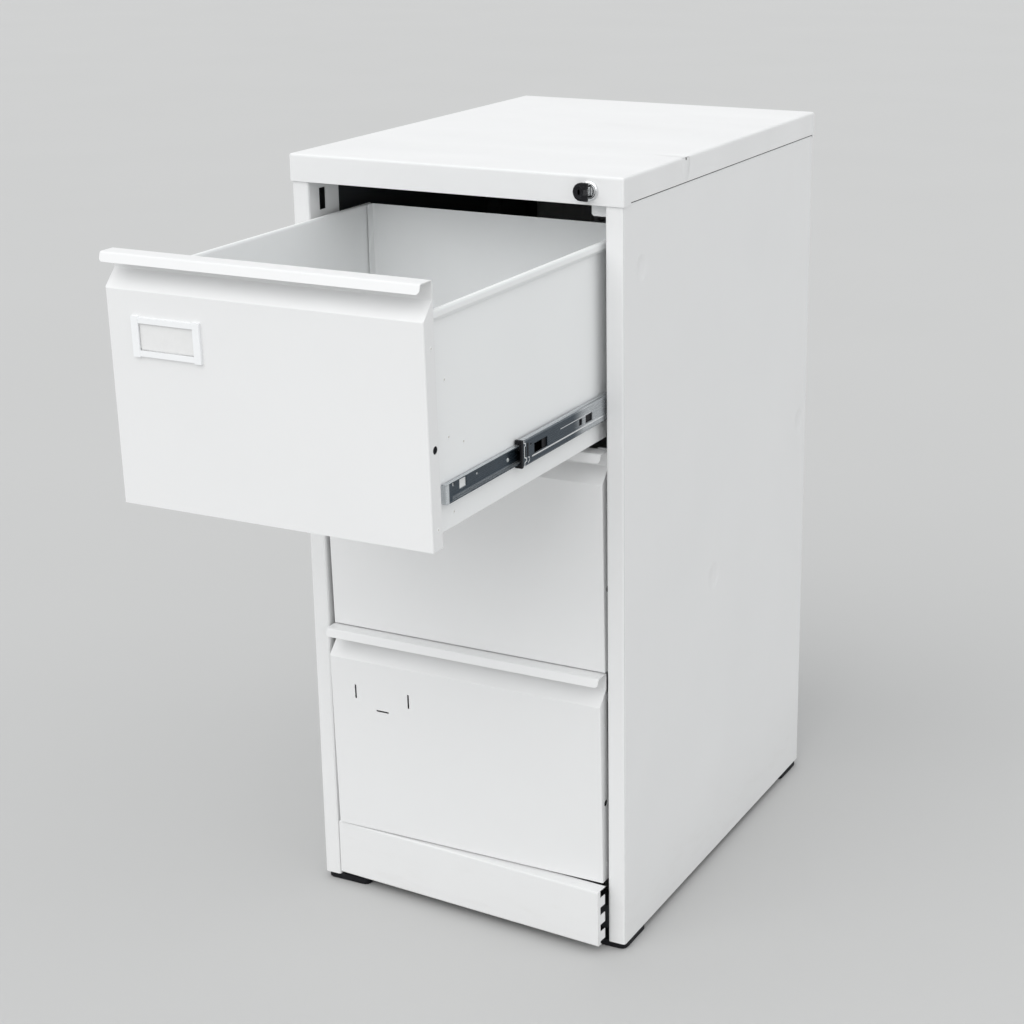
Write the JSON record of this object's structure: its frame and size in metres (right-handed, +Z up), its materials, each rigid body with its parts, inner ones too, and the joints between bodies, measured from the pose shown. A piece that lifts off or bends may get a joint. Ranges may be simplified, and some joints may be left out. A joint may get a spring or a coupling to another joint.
{
  "type": "filing cabinet",
  "caption": "Folded-steel filing cabinet with drawers on ball slides, a keyed lock bar, raked fronts with full-width pull lips and a swinging kick plate.",
  "frame": {"origin": "centre of the whole envelope on the floor, with the top drawer drawn out as at rest", "axes": "+X to the right as seen from the front, +Y to the back, +Z up"},
  "size_m": [0.467, 1.0429, 1.017],
  "materials": {
    "front_paint": "smooth semi-gloss powder coat, light grey",
    "body_paint": "smooth semi-gloss powder coat, light grey",
    "drawer_paint": "semi-gloss powder coat inside and out",
    "inner_paint": "thin powder coat on inner framing",
    "slide_steel": "bright zinc plate, lightly greased",
    "plated_steel": "bright zinc plate",
    "lock_chrome": "polished plating",
    "black_plastic": "moulded, fine matt",
    "holder_plastic": "moulded, white"
  },
  "bodies": {
    "cabinet": {"back_panel": "body_paint", "base_rail_front": "inner_paint", "base_rail_rear": "inner_paint", "feet_front": "black_plastic", "feet_rear": "black_plastic", "lock_bar_guides": "plated_steel", "lock_housing": "lock_chrome", "lock_nut": "plated_steel", "rear_upright_left": "inner_paint", "rear_upright_right": "inner_paint", "side_panel_left": "body_paint", "side_panel_right": "body_paint", "slide_outer_bottom": "slide_steel", "slide_outer_middle": "slide_steel", "slide_outer_top": "slide_steel", "top_cover": "body_paint"},
    "kick_plate": {"plinth_panel": "body_paint"},
    "lock_plug": {"lock_plug": "lock_chrome", "lock_cam": "plated_steel"},
    "lock_bar": {"lock_bar": "plated_steel", "lock_bar_hooks": "inner_paint"},
    "key": {"key_blade": "lock_chrome", "key_pin": "lock_chrome"},
    "key_bow": {"key_bow": "black_plastic"},
    "drawer_top": {"drawer_back_top": "drawer_paint", "drawer_front_top": "front_paint", "drawer_side_left_top": "drawer_paint", "drawer_side_right_top": "drawer_paint", "drawer_tray_top": "drawer_paint", "label_holder_top": "holder_plastic", "lock_catch_top": "plated_steel", "slide_inner_top": "slide_steel"},
    "slides_top": {"slide_bumper_top": "black_plastic", "slide_member_top": "slide_steel"},
    "balls_outer_top": {"slide_balls_outer_top": "black_plastic"},
    "balls_inner_top": {"slide_balls_inner_top": "black_plastic"},
    "drawer_middle": {"drawer_back_middle": "drawer_paint", "drawer_front_middle": "front_paint", "drawer_side_left_middle": "drawer_paint", "drawer_side_right_middle": "drawer_paint", "drawer_tray_middle": "drawer_paint", "lock_catch_middle": "plated_steel", "slide_inner_middle": "slide_steel"},
    "slides_middle": {"slide_bumper_middle": "black_plastic", "slide_member_middle": "slide_steel"},
    "balls_outer_middle": {"slide_balls_outer_middle": "black_plastic"},
    "balls_inner_middle": {"slide_balls_inner_middle": "black_plastic"},
    "drawer_bottom": {"drawer_back_bottom": "drawer_paint", "drawer_front_bottom": "front_paint", "drawer_side_left_bottom": "drawer_paint", "drawer_side_right_bottom": "drawer_paint", "drawer_tray_bottom": "drawer_paint", "lock_catch_bottom": "plated_steel", "slide_inner_bottom": "slide_steel"},
    "slides_bottom": {"slide_bumper_bottom": "black_plastic", "slide_member_bottom": "slide_steel"},
    "balls_outer_bottom": {"slide_balls_outer_bottom": "black_plastic"},
    "balls_inner_bottom": {"slide_balls_inner_bottom": "black_plastic"}
  },
  "joints": [
    {"name": "drawer_top_run", "type": "slide", "parent": "cabinet", "child": "drawer_top", "axis": [0, -1, 0], "range_m": [-0.407, 0.093]},
    {"name": "slides_top_run", "type": "slide", "parent": "cabinet", "child": "slides_top", "axis": [0, -1, 0], "range_m": [-0.23608, 0.05396]},
    {"name": "balls_outer_top_run", "type": "slide", "parent": "cabinet", "child": "balls_outer_top", "axis": [0, -1, 0], "range_m": [-0.11805, 0.02699]},
    {"name": "balls_inner_top_run", "type": "slide", "parent": "cabinet", "child": "balls_inner_top", "axis": [0, -1, 0], "range_m": [-0.32155, 0.07349]},
    {"name": "drawer_middle_run", "type": "slide", "parent": "cabinet", "child": "drawer_middle", "axis": [0, -1, 0], "range_m": [0, 0.5]},
    {"name": "slides_middle_run", "type": "slide", "parent": "cabinet", "child": "slides_middle", "axis": [0, -1, 0], "range_m": [0, 0.29002]},
    {"name": "balls_outer_middle_run", "type": "slide", "parent": "cabinet", "child": "balls_outer_middle", "axis": [0, -1, 0], "range_m": [0, 0.14502]},
    {"name": "balls_inner_middle_run", "type": "slide", "parent": "cabinet", "child": "balls_inner_middle", "axis": [0, -1, 0], "range_m": [0, 0.39502]},
    {"name": "drawer_bottom_run", "type": "slide", "parent": "cabinet", "child": "drawer_bottom", "axis": [0, -1, 0], "range_m": [-0.0092, 0.4908]},
    {"name": "slides_bottom_run", "type": "slide", "parent": "cabinet", "child": "slides_bottom", "axis": [0, -1, 0], "range_m": [-0.00536, 0.28468]},
    {"name": "balls_outer_bottom_run", "type": "slide", "parent": "cabinet", "child": "balls_outer_bottom", "axis": [0, -1, 0], "range_m": [-0.00269, 0.14235]},
    {"name": "balls_inner_bottom_run", "type": "slide", "parent": "cabinet", "child": "balls_inner_bottom", "axis": [0, -1, 0], "range_m": [-0.00729, 0.38775]},
    {"name": "kick_plate_swing", "type": "hinge", "parent": "cabinet", "child": "kick_plate", "pos_m": [-0.2065, -0.10525, 0.014], "axis": [0, 0, -1], "range_deg": [-3.6, 25]},
    {"name": "lock_turn", "type": "hinge", "parent": "cabinet", "child": "lock_plug", "pos_m": [0.1887, -0.10825, 0.999], "axis": [0, 1, 0], "range_deg": [0, 90.05]},
    {"name": "lock_bar_drop", "type": "slide", "parent": "cabinet", "child": "lock_bar", "axis": [0, 0, -1], "range_m": [0, 0.01]},
    {"name": "key_pull", "type": "slide", "parent": "lock_plug", "child": "key", "axis": [0, -1, 0], "range_m": [0, 0.03]},
    {"name": "key_fold", "type": "hinge", "parent": "key", "child": "key_bow", "pos_m": [0.1887, -0.12025, 0.999], "axis": [0, 0, 1], "range_deg": [0, 90]}
  ],
  "couplings": [
    {"joint": "slides_top_run", "follows": "drawer_top_run", "ratio": 0.58},
    {"joint": "balls_outer_top_run", "follows": "drawer_top_run", "ratio": 0.29},
    {"joint": "balls_inner_top_run", "follows": "drawer_top_run", "ratio": 0.79},
    {"joint": "slides_middle_run", "follows": "drawer_middle_run", "ratio": 0.58},
    {"joint": "balls_outer_middle_run", "follows": "drawer_middle_run", "ratio": 0.29},
    {"joint": "balls_inner_middle_run", "follows": "drawer_middle_run", "ratio": 0.79},
    {"joint": "slides_bottom_run", "follows": "drawer_bottom_run", "ratio": 0.58},
    {"joint": "balls_outer_bottom_run", "follows": "drawer_bottom_run", "ratio": 0.29},
    {"joint": "balls_inner_bottom_run", "follows": "drawer_bottom_run", "ratio": 0.79},
    {"joint": "lock_turn", "follows": "lock_bar_drop", "rad_per_m": 157.08}
  ]
}
